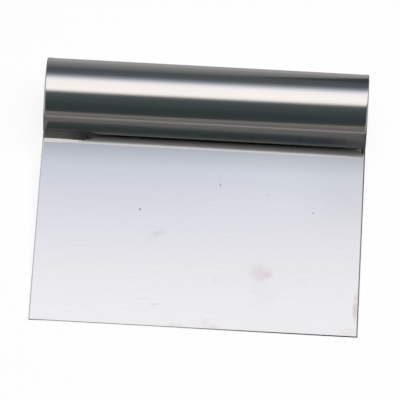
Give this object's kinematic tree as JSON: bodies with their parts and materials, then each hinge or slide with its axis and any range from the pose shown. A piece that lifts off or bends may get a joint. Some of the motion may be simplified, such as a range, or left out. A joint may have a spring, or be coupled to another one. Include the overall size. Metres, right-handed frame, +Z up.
{
  "type": "dough scraper",
  "caption": "All-steel dough scraper: a flat square blade with a blunt ground edge, its curled tang held in a polished tubular handle as long as the blade is wide.",
  "frame": {"origin": "on the table, under the middle of the scraper's box as it lies on its back", "axes": "+X along the handle, +Y from the scraping edge to the handle, +Z up from the table, out of the blade's front face"},
  "size_m": [0.15, 0.133, 0.0364],
  "materials": {
    "satin_steel": "satin stainless sheet with fine lines along the handle",
    "polished_steel": "polished stainless sheet with faint lines along the handle",
    "ground_weld": "weld ground by hand"
  },
  "bodies": {
    "root": {"blade": "satin_steel", "handle_tube": "polished_steel", "weld_left": "ground_weld", "weld_right": "ground_weld"}
  },
  "joints": []
}
